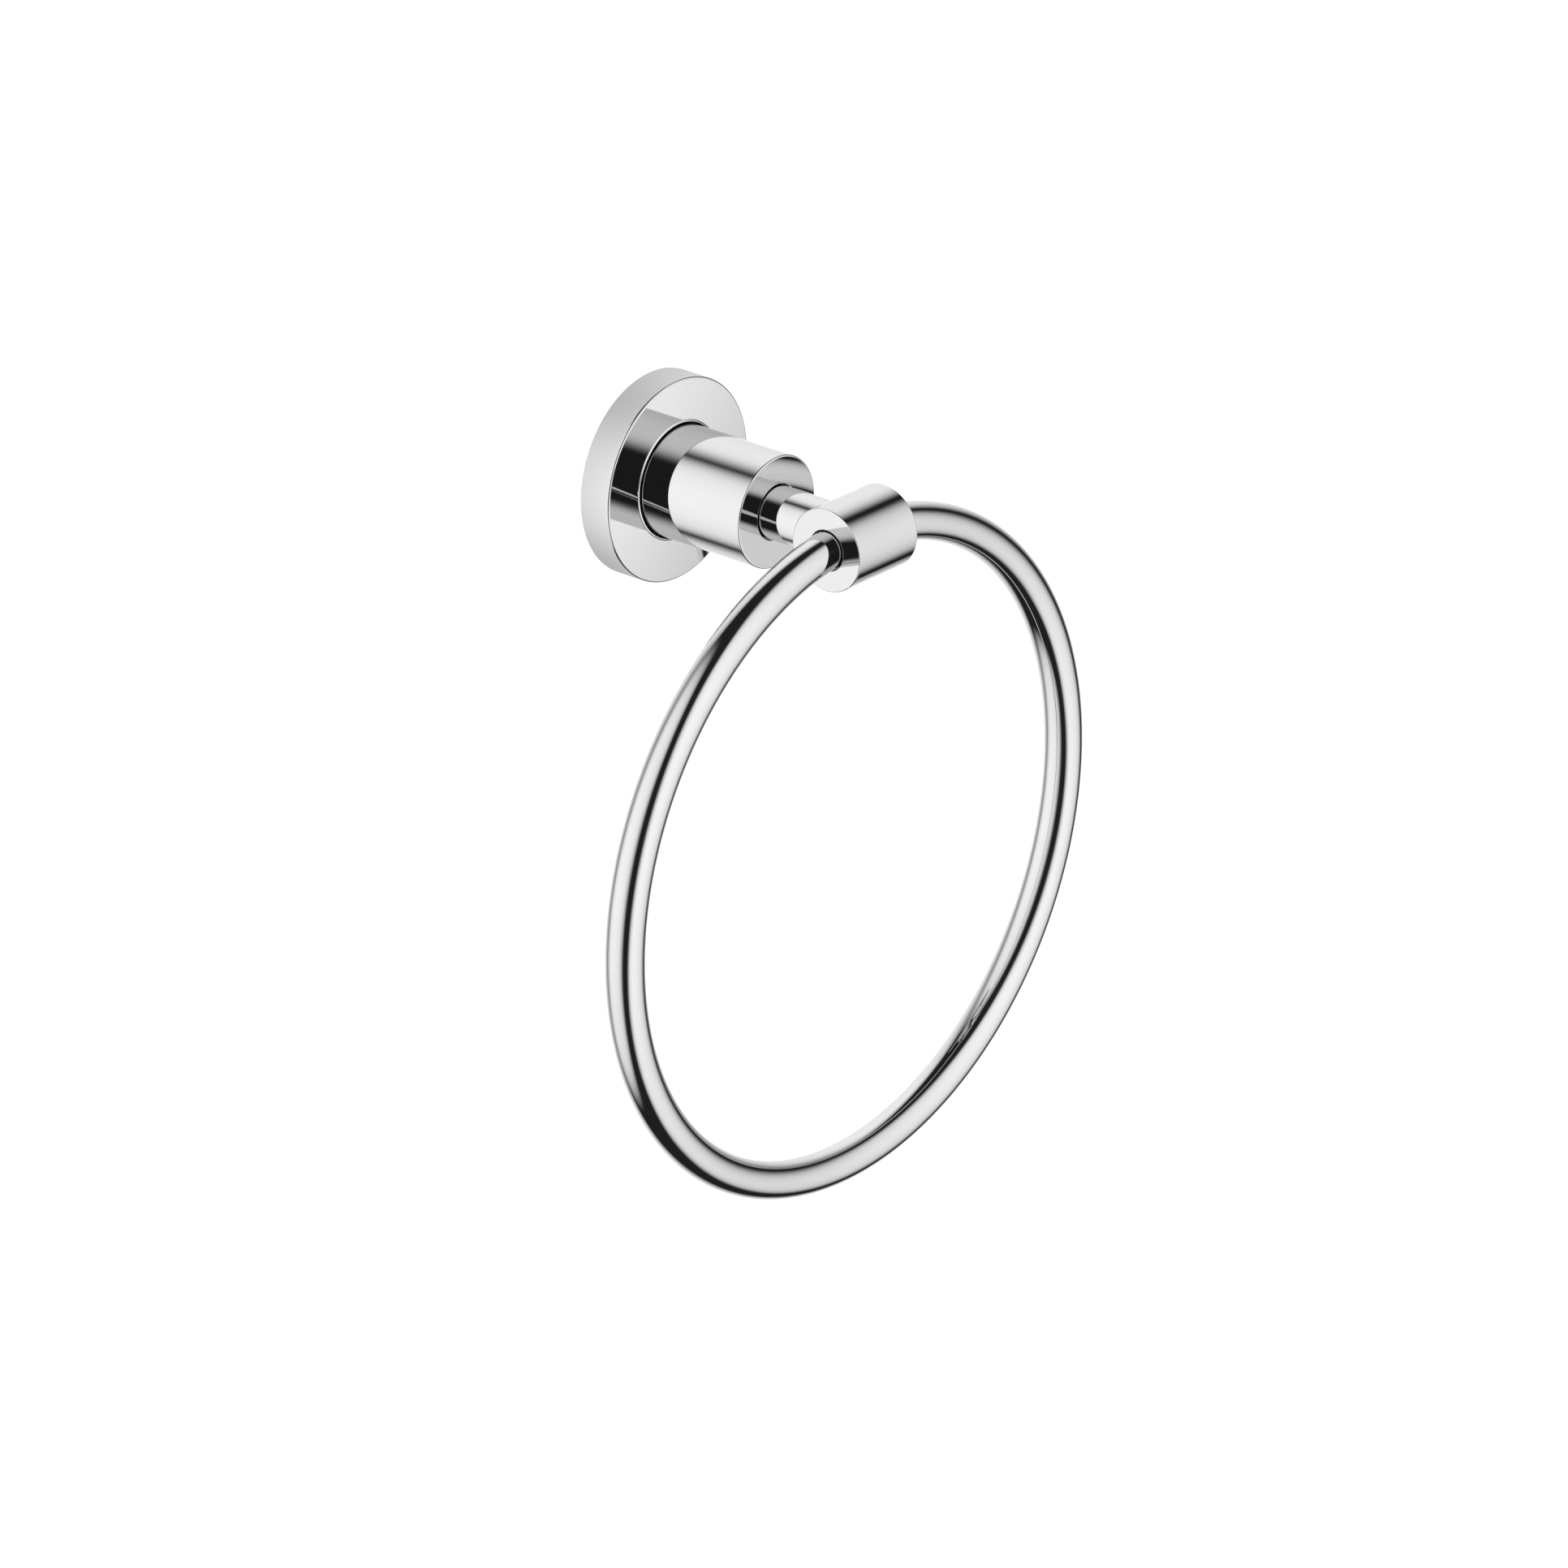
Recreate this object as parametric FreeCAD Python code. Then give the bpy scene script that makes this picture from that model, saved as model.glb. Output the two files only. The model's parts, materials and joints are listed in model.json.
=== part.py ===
import FreeCAD
import Part

import math
import os

# A wall-mounted towel ring. A wall plate hides under a round rosette and carries a stepped post:
# a thick body, a thin neck and a short knuckle lying across its end. A round tube ring is sprung
# into the knuckle from both sides and swings there on two turned end fittings.
# All sizes are in millimetres. The wall is the plane y = 0 and the post stands out along -Y.
# The origin is the centre of the rosette's back, +X is to the right facing the wall and +Z is up.

# Rosette: a turned cup, open at the wall, with a collar and a low crowned lip round the body's hole
rosette_diameter = 60.0
rosette_depth = 10.3
rosette_wall = 1.8
rosette_edge_round = 0.85
collar_wall = 2.0
collar_depth = 3.6
lip_width = 0.56
lip_height = 0.31
lip_crown_width = 0.32
lip_crown_drop = 0.085
lip_crown_round = 0.75
lip_inner_round = 0.08

# Body: the thick step of the post
body_diameter = 33.0
body_front = 46.4
body_wall = 5.4
body_edge_round = 0.75
body_hole_gap = 0.55
cavity_edge_chamfer = 0.5

# Neck: the thin step of the post
neck_diameter = 15.6
neck_socket_depth = 5.0
neck_socket_gap = 0.35
socket_edge_round = 0.3
neck_sink = 0.7
neck_spigot_diameter = 7.0
neck_spigot_length = 3.0

# Knuckle: the short cross barrel that holds the ring
knuckle_reach = 74.7
knuckle_diameter = 24.3
knuckle_length = 25.0
knuckle_edge_round = 0.45
mouth_gap = 0.4
mouth_depth = 5.0
mouth_edge_round = 0.3

# Ring: a round tube bent to a circle that is open at the knuckle
ring_radius = 96.5
tube_diameter = 11.0
tube_wall = 1.5
tube_entry = 1.0

# Pivot: a flanged bush in each mouth of the knuckle, and a spigot on each end of the ring
pivot_diameter = 7.0
pivot_clearance = 0.05
pivot_lead_chamfer = 0.4
bush_wall = 0.95
bush_length = 6.0
bush_flange_width = 1.1
bush_flange_thickness = 1.0
shoulder_play = 0.3
shoulder_step = 0.3
ring_end_tail = 7.0

# Wall plate: a disc that is screwed to the wall, with a boss that the body slides over
plate_thickness = 4.0
plate_gap = 0.7
plate_edge_chamfer = 0.4
boss_nose = 4.0
boss_lead_chamfer = 0.8
boss_clearance = 0.1
groove_depth = 1.6
wall_screw_inset = 5.5
wall_screw_hole_diameter = 5.5
wall_screw_head_diameter = 9.4

# Grub screw: holds the body on the boss, from underneath, just in front of the rosette
grub_diameter = 5.0
grub_from_rosette = 5.7
grub_tip_diameter = 1.6
grub_recess = 0.5
grub_key_flats = 2.5
grub_key_depth = 2.6

# Neck screw: a socket cap screw with a washer, from inside the body into the neck
screw_diameter = 6.0
screw_head_diameter = 10.0
screw_head_height = 6.0
screw_head_chamfer = 0.5
screw_key_flats = 5.0
screw_key_depth = 3.0
screw_engagement = 12.0
screw_room = 1.5
screw_hole_gap = 0.3
tapped_hole_spare = 2.0
washer_diameter = 12.0
washer_thickness = 1.6

# Locating pin: keeps the neck from turning in the body
pin_diameter = 2.5
pin_length = 7.0
pin_offset = 5.3
pin_end_chamfer = 0.3

# Sealing ring between the rosette's collar and the body
o_ring_section = 1.6
o_ring_side_room = 0.2

# Clearances between seated pieces
fit_gap = 0.02
thread_gap = 0.05
tail_gap = 0.05
seat_gap = 0.05

# Directions
OUT = FreeCAD.Vector(0, -1, 0)
ACROSS = FreeCAD.Vector(1, 0, 0)
UP = FreeCAD.Vector(0, 0, 1)
DOWN = FreeCAD.Vector(0, 0, -1)
WALL_CENTRE = FreeCAD.Vector(0, 0, 0)

# Radii that follow from the sizes above
rosette_radius = rosette_diameter / 2
body_radius = body_diameter / 2
neck_radius = neck_diameter / 2
knuckle_radius = knuckle_diameter / 2
tube_radius = tube_diameter / 2
tube_bore_radius = tube_radius - tube_wall
rosette_hole_radius = body_radius + body_hole_gap
neck_socket_radius = neck_radius + neck_socket_gap
mouth_radius = tube_radius + mouth_gap
pivot_radius = pivot_diameter / 2
bush_bore_radius = pivot_radius + pivot_clearance
bush_radius = bush_bore_radius + bush_wall
shoulder_radius = tube_radius - shoulder_step
cavity_radius = body_radius - body_wall
boss_radius = cavity_radius - boss_clearance
plate_radius = rosette_radius - rosette_wall - plate_gap
wall_screw_offset = plate_radius - wall_screw_inset
screw_radius = screw_diameter / 2
screw_head_radius = screw_head_diameter / 2
screw_hole_radius = screw_radius + screw_hole_gap
grub_radius = grub_diameter / 2
grub_tip_radius = grub_tip_diameter / 2

# Stations along the post, as distances from the wall
grub_station = rosette_depth + grub_from_rosette
boss_front = grub_station + boss_nose
screw_head_back = boss_front + screw_room
washer_back = screw_head_back + screw_head_height
cavity_floor = washer_back + washer_thickness
neck_back = body_front - neck_socket_depth
neck_seat_height = math.sqrt(knuckle_radius**2 - neck_radius**2) - neck_sink
neck_front = knuckle_reach - neck_seat_height
o_ring_station = rosette_depth - collar_depth / 2

# Places along the knuckle, as distances from its middle
knuckle_face = knuckle_length / 2
mouth_floor = knuckle_face - mouth_depth
bush_inner_end = mouth_floor - bush_length
shoulder_face = mouth_floor + bush_flange_thickness + shoulder_play
tube_end = knuckle_face - tube_entry

# The ring's centre line meets the knuckle's axis at the knuckle's two faces
ring_drop = math.sqrt(ring_radius**2 - knuckle_face**2)
ring_end_angle = math.degrees(math.asin(tube_end / ring_radius))
KNUCKLE_CENTRE = OUT * knuckle_reach
RING_CENTRE = KNUCKLE_CENTRE + DOWN * ring_drop


def turned(profile, origin, axis, outward):
    """A solid of revolution from (radius, station) corners, with stations along the axis."""
    corners = [origin + axis * station + outward * radius for radius, station in profile]
    face = Part.Face(Part.makePolygon(corners + corners[:1]))
    return face.revolve(origin, axis, 360)


def on_post(profile):
    """A turned piece on the post's axis, with stations as distances from the wall."""
    return turned(profile, WALL_CENTRE, OUT, UP)


def on_knuckle(profile, side):
    """A turned piece on the knuckle's axis, with stations out from its middle to one side."""
    return turned(profile, KNUCKLE_CENTRE, ACROSS * side, UP)


def rims(solid, centre, radius):
    """The full circular edges of a solid that have this centre and this radius."""
    circles = [edge for edge in solid.Edges if isinstance(edge.Curve, Part.Circle)]
    near = 1e-6
    return [
        edge
        for edge in circles
        if abs(edge.Curve.Radius - radius) < near and (edge.Curve.Center - centre).Length < near
    ]


def rounded(solid, size, centre, radius):
    """Round one circular edge."""
    return solid.makeFillet(size, rims(solid, centre, radius))


def bevelled(solid, size, centre, radius):
    """Bevel one circular edge at 45 degrees."""
    return solid.makeChamfer(size, rims(solid, centre, radius))


def rod(radius, start, axis, length):
    """A plain cylinder from a start point along an axis."""
    return Part.makeCylinder(radius, length, start, axis)


def hexagon(across_flats, start, axis, length):
    """A hexagonal prism, the shape of a key's socket."""
    corner = FreeCAD.Vector(across_flats / math.sqrt(3), 0, 0)
    steps = [FreeCAD.Rotation(UP, 60 * index) for index in range(7)]
    turn = FreeCAD.Rotation(UP, axis)
    corners = [start + turn.multVec(step.multVec(corner)) for step in steps]
    return Part.Face(Part.makePolygon(corners)).extrude(axis * length)


def bent_bar(radius, start_angle, end_angle):
    """A round bar along the ring's centre line, between two angles from the top, turning right."""
    top = RING_CENTRE + UP * ring_radius
    disc = Part.Face(Part.Wire(Part.makeCircle(radius, top, ACROSS)))
    disc.rotate(RING_CENTRE, OUT * -1, start_angle)
    return disc.revolve(RING_CENTRE, OUT * -1, end_angle - start_angle)


def make_wall_plate():
    """The disc on the wall and its boss, with a vee groove for the grub screw's tip."""
    plate = on_post(
        [
            (0, 0),
            (plate_radius, 0),
            (plate_radius, plate_thickness),
            (boss_radius, plate_thickness),
            (boss_radius, grub_station - groove_depth),
            (boss_radius - groove_depth, grub_station),
            (boss_radius, grub_station + groove_depth),
            (boss_radius, boss_front),
            (0, boss_front),
        ]
    )
    plate = bevelled(plate, plate_edge_chamfer, OUT * plate_thickness, plate_radius)
    plate = bevelled(plate, boss_lead_chamfer, OUT * boss_front, boss_radius)
    for side in (-1, 1):
        centre = ACROSS * (side * wall_screw_offset)
        plate = plate.cut(wall_screw_hole(centre))
    return plate


def wall_screw_hole(centre):
    """A hole through the wall plate with a 90 degree countersink at its front."""
    hole_radius = wall_screw_hole_diameter / 2
    head_radius = wall_screw_head_diameter / 2
    sink_start = plate_thickness - (head_radius - hole_radius)
    hole = rod(hole_radius, centre, OUT, plate_thickness)
    sink = Part.makeCone(hole_radius, head_radius, head_radius - hole_radius, centre + OUT * sink_start, OUT)
    return hole.fuse(sink)


def make_rosette():
    """The cover cup, with a collar behind its hole and a low crowned lip round the hole in front."""
    lip_radius = rosette_hole_radius + lip_width
    lip_front = rosette_depth + lip_height
    crown_radius = rosette_hole_radius + lip_crown_width
    crown_front = lip_front - lip_crown_drop
    collar_back = rosette_depth - collar_depth
    collar_radius = rosette_hole_radius + collar_wall
    cup_floor = rosette_depth - rosette_wall
    cup_radius = rosette_radius - rosette_wall
    rosette = on_post(
        [
            (rosette_radius, 0),
            (rosette_radius, rosette_depth),
            (lip_radius, rosette_depth),
            (crown_radius, crown_front),
            (rosette_hole_radius, lip_front),
            (rosette_hole_radius, collar_back),
            (collar_radius, collar_back),
            (collar_radius, cup_floor),
            (cup_radius, cup_floor),
            (cup_radius, 0),
        ]
    )
    rosette = rounded(rosette, rosette_edge_round, OUT * rosette_depth, rosette_radius)
    rosette = rounded(rosette, lip_crown_round, OUT * crown_front, crown_radius)
    return rounded(rosette, lip_inner_round, OUT * lip_front, rosette_hole_radius)


def make_o_ring():
    """The sealing ring, squeezed between the body's groove and the rosette's collar."""
    section_radius = o_ring_section / 2
    middle = rosette_hole_radius - section_radius
    return Part.makeTorus(middle, section_radius - fit_gap, OUT * o_ring_station, OUT)


def make_body():
    """The thick step: a cavity behind for the boss and the screw, and a socket in front for the neck."""
    groove_radius = rosette_hole_radius - o_ring_section
    groove_half = o_ring_section / 2 + o_ring_side_room
    body = on_post(
        [
            (cavity_radius, plate_thickness),
            (body_radius, plate_thickness),
            (body_radius, o_ring_station - groove_half),
            (groove_radius, o_ring_station - groove_half),
            (groove_radius, o_ring_station + groove_half),
            (body_radius, o_ring_station + groove_half),
            (body_radius, body_front),
            (neck_socket_radius, body_front),
            (neck_socket_radius, neck_back),
            (screw_hole_radius, neck_back),
            (screw_hole_radius, cavity_floor),
            (cavity_radius, cavity_floor),
        ]
    )
    body = rounded(body, body_edge_round, OUT * body_front, body_radius)
    body = rounded(body, socket_edge_round, OUT * body_front, neck_socket_radius)
    body = bevelled(body, cavity_edge_chamfer, OUT * plate_thickness, cavity_radius)
    grub_hole = rod(grub_radius + thread_gap, OUT * grub_station, DOWN, body_radius)
    return body.cut(grub_hole).cut(pin_hole())


def make_grub_screw():
    """A socket grub screw with a cone point that bears in the boss's groove."""
    tip = boss_radius - groove_depth + grub_tip_radius + seat_gap
    shoulder = tip + grub_radius - grub_tip_radius
    top = body_radius - grub_recess
    profile = [(0, tip), (grub_tip_radius, tip), (grub_radius, shoulder), (grub_radius, top), (0, top)]
    screw = turned(profile, OUT * grub_station, DOWN, ACROSS)
    key = hexagon(grub_key_flats, OUT * grub_station + DOWN * top, UP, grub_key_depth)
    return screw.cut(key)


def make_neck():
    """The thin step: tapped behind for the screw, with a spigot in front for the knuckle."""
    spigot_radius = neck_spigot_diameter / 2
    spigot_front = neck_front + neck_spigot_length - fit_gap
    neck = on_post(
        [
            (0, neck_back),
            (neck_radius, neck_back),
            (neck_radius, neck_front),
            (spigot_radius, neck_front),
            (spigot_radius, spigot_front),
            (0, spigot_front),
        ]
    )
    tapped_depth = screw_engagement + tapped_hole_spare
    tapped_hole = rod(screw_radius + thread_gap, OUT * neck_back, OUT, tapped_depth)
    return neck.cut(tapped_hole).cut(pin_hole())


def pin_hole():
    """The hole for the locating pin, half in the body's web and half in the neck."""
    middle = OUT * neck_back + UP * pin_offset
    length = pin_length + 2 * seat_gap
    return rod(pin_diameter / 2 + fit_gap, middle - OUT * (length / 2), OUT, length)


def make_locating_pin():
    """A plain dowel with bevelled ends."""
    radius = pin_diameter / 2
    start = OUT * (neck_back - pin_length / 2) + UP * pin_offset
    pin = rod(radius, start, OUT, pin_length)
    pin = bevelled(pin, pin_end_chamfer, start, radius)
    return bevelled(pin, pin_end_chamfer, start + OUT * pin_length, radius)


def make_neck_screw():
    """A socket cap screw: its head sits in the body's cavity and its shank reaches into the neck."""
    screw_tip = neck_back + screw_engagement
    screw = on_post(
        [
            (0, screw_head_back),
            (screw_head_radius, screw_head_back),
            (screw_head_radius, washer_back),
            (screw_radius, washer_back),
            (screw_radius, screw_tip),
            (0, screw_tip),
        ]
    )
    screw = bevelled(screw, screw_head_chamfer, OUT * screw_head_back, screw_head_radius)
    screw = bevelled(screw, screw_head_chamfer, OUT * screw_tip, screw_radius)
    return screw.cut(hexagon(screw_key_flats, OUT * screw_head_back, OUT, screw_key_depth))


def make_neck_washer():
    """The plain washer under the screw's head."""
    washer_radius = washer_diameter / 2
    return on_post(
        [
            (screw_hole_radius, washer_back),
            (washer_radius, washer_back),
            (washer_radius, cavity_floor),
            (screw_hole_radius, cavity_floor),
        ]
    )


def make_knuckle():
    """The cross barrel: a mouth at each face, one bore between them, and the neck's seat behind."""
    knuckle = rod(knuckle_radius, KNUCKLE_CENTRE - ACROSS * knuckle_face, ACROSS, knuckle_length)
    bore_radius = bush_radius + fit_gap
    knuckle = knuckle.cut(rod(bore_radius, KNUCKLE_CENTRE - ACROSS * knuckle_face, ACROSS, knuckle_length))
    for side in (-1, 1):
        face_centre = KNUCKLE_CENTRE + ACROSS * (side * knuckle_face)
        knuckle = knuckle.cut(rod(mouth_radius, face_centre, ACROSS * -side, mouth_depth))
        knuckle = rounded(knuckle, knuckle_edge_round, face_centre, knuckle_radius)
        knuckle = rounded(knuckle, mouth_edge_round, face_centre, mouth_radius)
    seat = OUT * neck_front
    neck_seat = rod(neck_radius + fit_gap, seat, OUT * -1, knuckle_radius)
    spigot_seat = rod(neck_spigot_diameter / 2 + fit_gap, seat, OUT, neck_spigot_length)
    return knuckle.cut(neck_seat).cut(spigot_seat)


def make_pivot_bush(side):
    """A flanged plastic bush, pressed into the knuckle's bore from one side."""
    flange_radius = bush_radius + bush_flange_width
    flange_face = mouth_floor + bush_flange_thickness
    bush = on_knuckle(
        [
            (bush_bore_radius, bush_inner_end),
            (bush_radius, bush_inner_end),
            (bush_radius, mouth_floor),
            (flange_radius, mouth_floor),
            (flange_radius, flange_face),
            (bush_bore_radius, flange_face),
        ],
        side,
    )
    return bush


def make_ring_tube():
    """The tube ring, open between its two ends inside the knuckle."""
    outer = bent_bar(tube_radius, ring_end_angle, 360 - ring_end_angle)
    inner = bent_bar(tube_bore_radius, ring_end_angle, 360 - ring_end_angle)
    return outer.cut(inner)


def make_ring_end(side):
    """The turned end of the ring: a tail in the tube, a shoulder across its end and the pivot spigot."""
    tail_angle = math.degrees(ring_end_tail / ring_radius)
    spigot_start = bush_inner_end + fit_gap
    shoulder = on_knuckle(
        [
            (0, spigot_start),
            (pivot_radius, spigot_start),
            (pivot_radius, shoulder_face),
            (shoulder_radius, shoulder_face),
            (shoulder_radius, knuckle_face),
            (0, knuckle_face),
        ],
        1,
    )
    spigot_tip = KNUCKLE_CENTRE + ACROSS * spigot_start
    shoulder = bevelled(shoulder, pivot_lead_chamfer, spigot_tip, pivot_radius)
    beyond_tube_end = bent_bar(mouth_radius + shoulder_radius, ring_end_angle, ring_end_angle + tail_angle)
    tail = bent_bar(tube_bore_radius - tail_gap, ring_end_angle - tail_angle / 2, ring_end_angle + tail_angle)
    tail = tail.common(bent_bar(tube_bore_radius, ring_end_angle, ring_end_angle + tail_angle))
    end = shoulder.cut(beyond_tube_end).fuse(tail).removeSplitter()
    if side < 0:
        end = end.mirror(WALL_CENTRE, ACROSS)
    return end


def pieces():
    """Every piece of the towel ring, by name."""
    made = {
        "wall_plate": make_wall_plate(),
        "rosette": make_rosette(),
        "rosette_o_ring": make_o_ring(),
        "post_body": make_body(),
        "grub_screw": make_grub_screw(),
        "neck": make_neck(),
        "locating_pin": make_locating_pin(),
        "neck_screw": make_neck_screw(),
        "neck_washer": make_neck_washer(),
        "knuckle": make_knuckle(),
        "ring_tube": make_ring_tube(),
    }
    for name, side in (("left", -1), ("right", 1)):
        made["pivot_bush_" + name] = make_pivot_bush(side)
        made["ring_end_" + name] = make_ring_end(side)
    return made


os.makedirs("parts", exist_ok=True)
for piece_name, shape in pieces().items():
    shape.exportStep(os.path.join("parts", piece_name + ".step"))
    box = shape.BoundBox
    print(piece_name, len(shape.Solids), shape.isValid(), round(shape.Volume, 1))
    print("  x", round(box.XMin, 2), round(box.XMax, 2), "y", round(box.YMin, 2), round(box.YMax, 2))
    print("  z", round(box.ZMin, 2), round(box.ZMax, 2))
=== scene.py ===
import json
import math
from collections import namedtuple

import bpy
import numpy as np
from mathutils import Matrix, Vector


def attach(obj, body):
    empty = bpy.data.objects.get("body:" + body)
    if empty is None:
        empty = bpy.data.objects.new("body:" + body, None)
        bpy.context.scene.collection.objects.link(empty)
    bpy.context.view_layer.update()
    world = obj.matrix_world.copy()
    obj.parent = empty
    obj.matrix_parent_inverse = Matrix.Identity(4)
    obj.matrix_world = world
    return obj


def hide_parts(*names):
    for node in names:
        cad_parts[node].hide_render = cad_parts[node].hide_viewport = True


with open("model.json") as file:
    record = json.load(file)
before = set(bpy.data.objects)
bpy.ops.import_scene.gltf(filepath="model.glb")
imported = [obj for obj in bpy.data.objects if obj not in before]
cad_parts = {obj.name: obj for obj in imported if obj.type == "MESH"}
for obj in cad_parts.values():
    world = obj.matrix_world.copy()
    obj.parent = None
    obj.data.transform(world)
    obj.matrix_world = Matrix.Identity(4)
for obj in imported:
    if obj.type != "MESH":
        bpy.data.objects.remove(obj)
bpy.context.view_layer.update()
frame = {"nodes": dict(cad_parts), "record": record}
NODES = frame["nodes"]

# Camera, fitted to the photograph: azimuth from straight in front of the wall (negative is to the
# left), elevation and roll in degrees; distance, target and reach in metres; lens and sensor in
# millimetres
CAMERA_AZIMUTH = -50.197
CAMERA_ELEVATION = 24.046
CAMERA_ROLL = 0.638
CAMERA_DISTANCE = 2.459025
CAMERA_TARGET = Vector((0.060114, 0.0, -0.116808))
CAMERA_REACH = 20.0
CAMERA_LENS = 192.967
SENSOR_WIDTH = 36.0

# Studio: three large soft white panels standing round the object in the dark. Of each: the azimuth
# of its middle and its reach to the left, right, up and down, with the soft margin above and below;
# how square its corners are, how flat its middle and how long its edge's fade; its brightness, the
# azimuth where it is brightest, and the share that it loses away from there. Angles in degrees.
Panel = namedtuple(
    "Panel", "middle left right up down soft_up soft_down corner flatness fade peak brightest loss"
)
PANELS = [
    Panel(
        middle=17.3, left=59.1, right=67.6, up=76.8, down=74.2, soft_up=48.9, soft_down=43.1,
        corner=2.41, flatness=6.46, fade=3.49, peak=1.351, brightest=-11.0, loss=0.413,
    ),
    Panel(
        middle=-108.9, left=69.7, right=50.9, up=73.9, down=71.2, soft_up=41.5, soft_down=31.5,
        corner=2.24, flatness=5.06, fade=2.51, peak=1.317, brightest=-132.3, loss=0.437,
    ),
    Panel(
        middle=142.2, left=56.3, right=55.9, up=68.6, down=74.2, soft_up=26.6, soft_down=39.5,
        corner=2.13, flatness=3.22, fade=1.78, peak=1.300, brightest=129.8, loss=0.255,
    ),
]
STUDIO_DARK = 0.0211

# The small part of the first panel that the flat front faces mirror isn't quite even: its middle
# (azimuth, elevation), what it gains with a degree of each, and its limits; then its reach along X
# and in elevation: the middle, how far from there it is whole, and where it ends
UNEVEN_AT = (49.5, -22.0)
UNEVEN_SLOPE = (-0.418, 0.206)
UNEVEN_LIMITS = (-0.12, 0.18)
UNEVEN_ALONG_X = (0.7037, 0.0066, 0.0106)
UNEVEN_IN_HEIGHT = (-22.0, 0.8, 1.3)

# Floor: its height, its reach from the middle, its tone, and what lifts it to white for the camera
FLOOR_HEIGHT = -1.15
FLOOR_REACH = 12.0
FLOOR_TONE = 0.85
FLOOR_LIFT = 0.6

# Mirror images of mirror images that are followed, for the narrow gaps between the pieces
GLOSSY_BOUNCES = 12

# Noises of the finishes: the scale per metre and the detail. A noise keeps near its middle, so only
# that part of its range is spread over the limits that it is given.
TONE_NOISE = (45.0, 2.0)
POLISH_NOISE = (120.0, 3.0)
GRAIN_NOISE = (4500.0, 2.0)
MARK_NOISE = (2600.0, 4.0)
MARK_POLISH_NOISE = (2600.0, 2.0)
NOISE_MIDDLE = (0.3, 0.7)

# Chrome: the two tones that it wanders between, its tone at grazing angles, and its roughness
CHROME_DARK = (0.655, 0.655, 0.66)
CHROME_LIGHT = (0.668, 0.668, 0.672)
CHROME_GRAZING = (0.78, 0.78, 0.78, 1.0)
POLISH = (0.01, 0.035)

# The rosette's satin: its tones at the wall, darkened there by painted shade, and next to the
# front, how far the grain strays from them, and its roughness. Then where the painted shade of the
# first tone turns into the second, where the front's polish takes over, both in metres from the
# wall, and the radius at which the hole's polish ends
SATIN_BACK_PAINTED_SHADE = (0.81, 0.81, 0.81)
SATIN_FRONT = (0.93, 0.93, 0.93)
GRAIN_TONE = 0.2
SATIN = (0.64, 0.76)
SATIN_PAINTED_SHADE_REACH = (0.0, 0.0093)
POLISH_STARTS = (0.0096, 0.00965)
POLISH_ENDS = (0.0193, 0.0194)

# Turned metals: dark and light tone, roughness, and the axis that the tool marks go round (0 is X);
# then the strength and the depth of the marks
TURNED_METALS = {
    "plate_metal": ((0.52, 0.52, 0.52), (0.66, 0.66, 0.66), (0.28, 0.42), 1),
    "screw_steel": ((0.56, 0.56, 0.57), (0.67, 0.67, 0.68), (0.22, 0.36), 1),
    "brass_fitting": ((0.74, 0.62, 0.36), (0.85, 0.73, 0.45), (0.2, 0.34), 0),
}
MARK_BUMP = (0.2, 0.00002)

# Mouldings: dark and light tone, roughness, and the scale and the depth of the mottling; then the
# detail of the mottling, the strength of its bumps, and the noise of the roughness beside it
MOULDINGS = {
    "bush_plastic": ((0.87, 0.87, 0.85), (0.92, 0.92, 0.9), (0.4, 0.5), 900.0, 0.00001),
    "black_rubber": ((0.025, 0.025, 0.025), (0.036, 0.036, 0.036), (0.55, 0.7), 1200.0, 0.00002),
}
MOTTLE_DETAIL = 4.0
MOTTLE_BUMP = 0.3
SHEEN_SCALE = 0.3
SHEEN_DETAIL = 3.0

# Sizes of the pieces in millimetres, as in the solids apart from slightly smaller edge rounds.
# Stations are measured from the wall along the post, or from the knuckle's middle along its axis.
MM = 0.001
ROSETTE_RADIUS = 30.0
ROSETTE_DEPTH = 10.3
ROSETTE_CUP_RADIUS = 28.2
ROSETTE_CUP_FLOOR = 8.5
ROSETTE_HOLE_RADIUS = 17.05
ROSETTE_COLLAR_RADIUS = 19.05
ROSETTE_COLLAR_BACK = 6.7
ROSETTE_EDGE_ROUND = 0.65
LIP_RADIUS = 17.61
LIP_FRONT = 10.61
LIP_CROWN = (17.37, 10.525, 0.75)
LIP_INNER_ROUND = 0.08
BODY_BACK = 4.0
BODY_FRONT = 46.4
BODY_RADIUS = 16.5
BODY_EDGE_ROUND = 0.5
BODY_GROOVE_RADIUS = 15.45
BODY_GROOVE_BACK = 7.5
BODY_GROOVE_FRONT = 9.5
BODY_CAVITY_RADIUS = 11.1
BODY_CAVITY_FLOOR = 29.1
BODY_WEB_FRONT = 41.4
BODY_SCREW_HOLE_RADIUS = 3.3
SOCKET_RADIUS = 8.15
SOCKET_EDGE_ROUND = 0.3
GRUB_STATION = 16.0
GRUB_HOLE_RADIUS = 2.55
NECK_RADIUS = 7.8
NECK_BACK = 41.4
NECK_FRONT = 66.084
NECK_BORE_RADIUS = 3.05
NECK_BORE_FRONT = 55.4
NECK_SPIGOT_RADIUS = 3.5
NECK_SPIGOT_FRONT = 69.064
KNUCKLE_REACH = 74.7
KNUCKLE_RADIUS = 12.15
KNUCKLE_FACE = 12.5
KNUCKLE_EDGE_ROUND = 0.35
KNUCKLE_BORE_RADIUS = 4.52
MOUTH_RADIUS = 5.9
MOUTH_FLOOR = 7.5
MOUTH_EDGE_ROUND = 0.3
NECK_SEAT_RADIUS = 7.82
RING_RADIUS = 96.5
RING_DROP = 95.687
RING_END_ANGLE = 6.843
TUBE_RADIUS = 5.5
TUBE_BORE_RADIUS = 4.0

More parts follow.
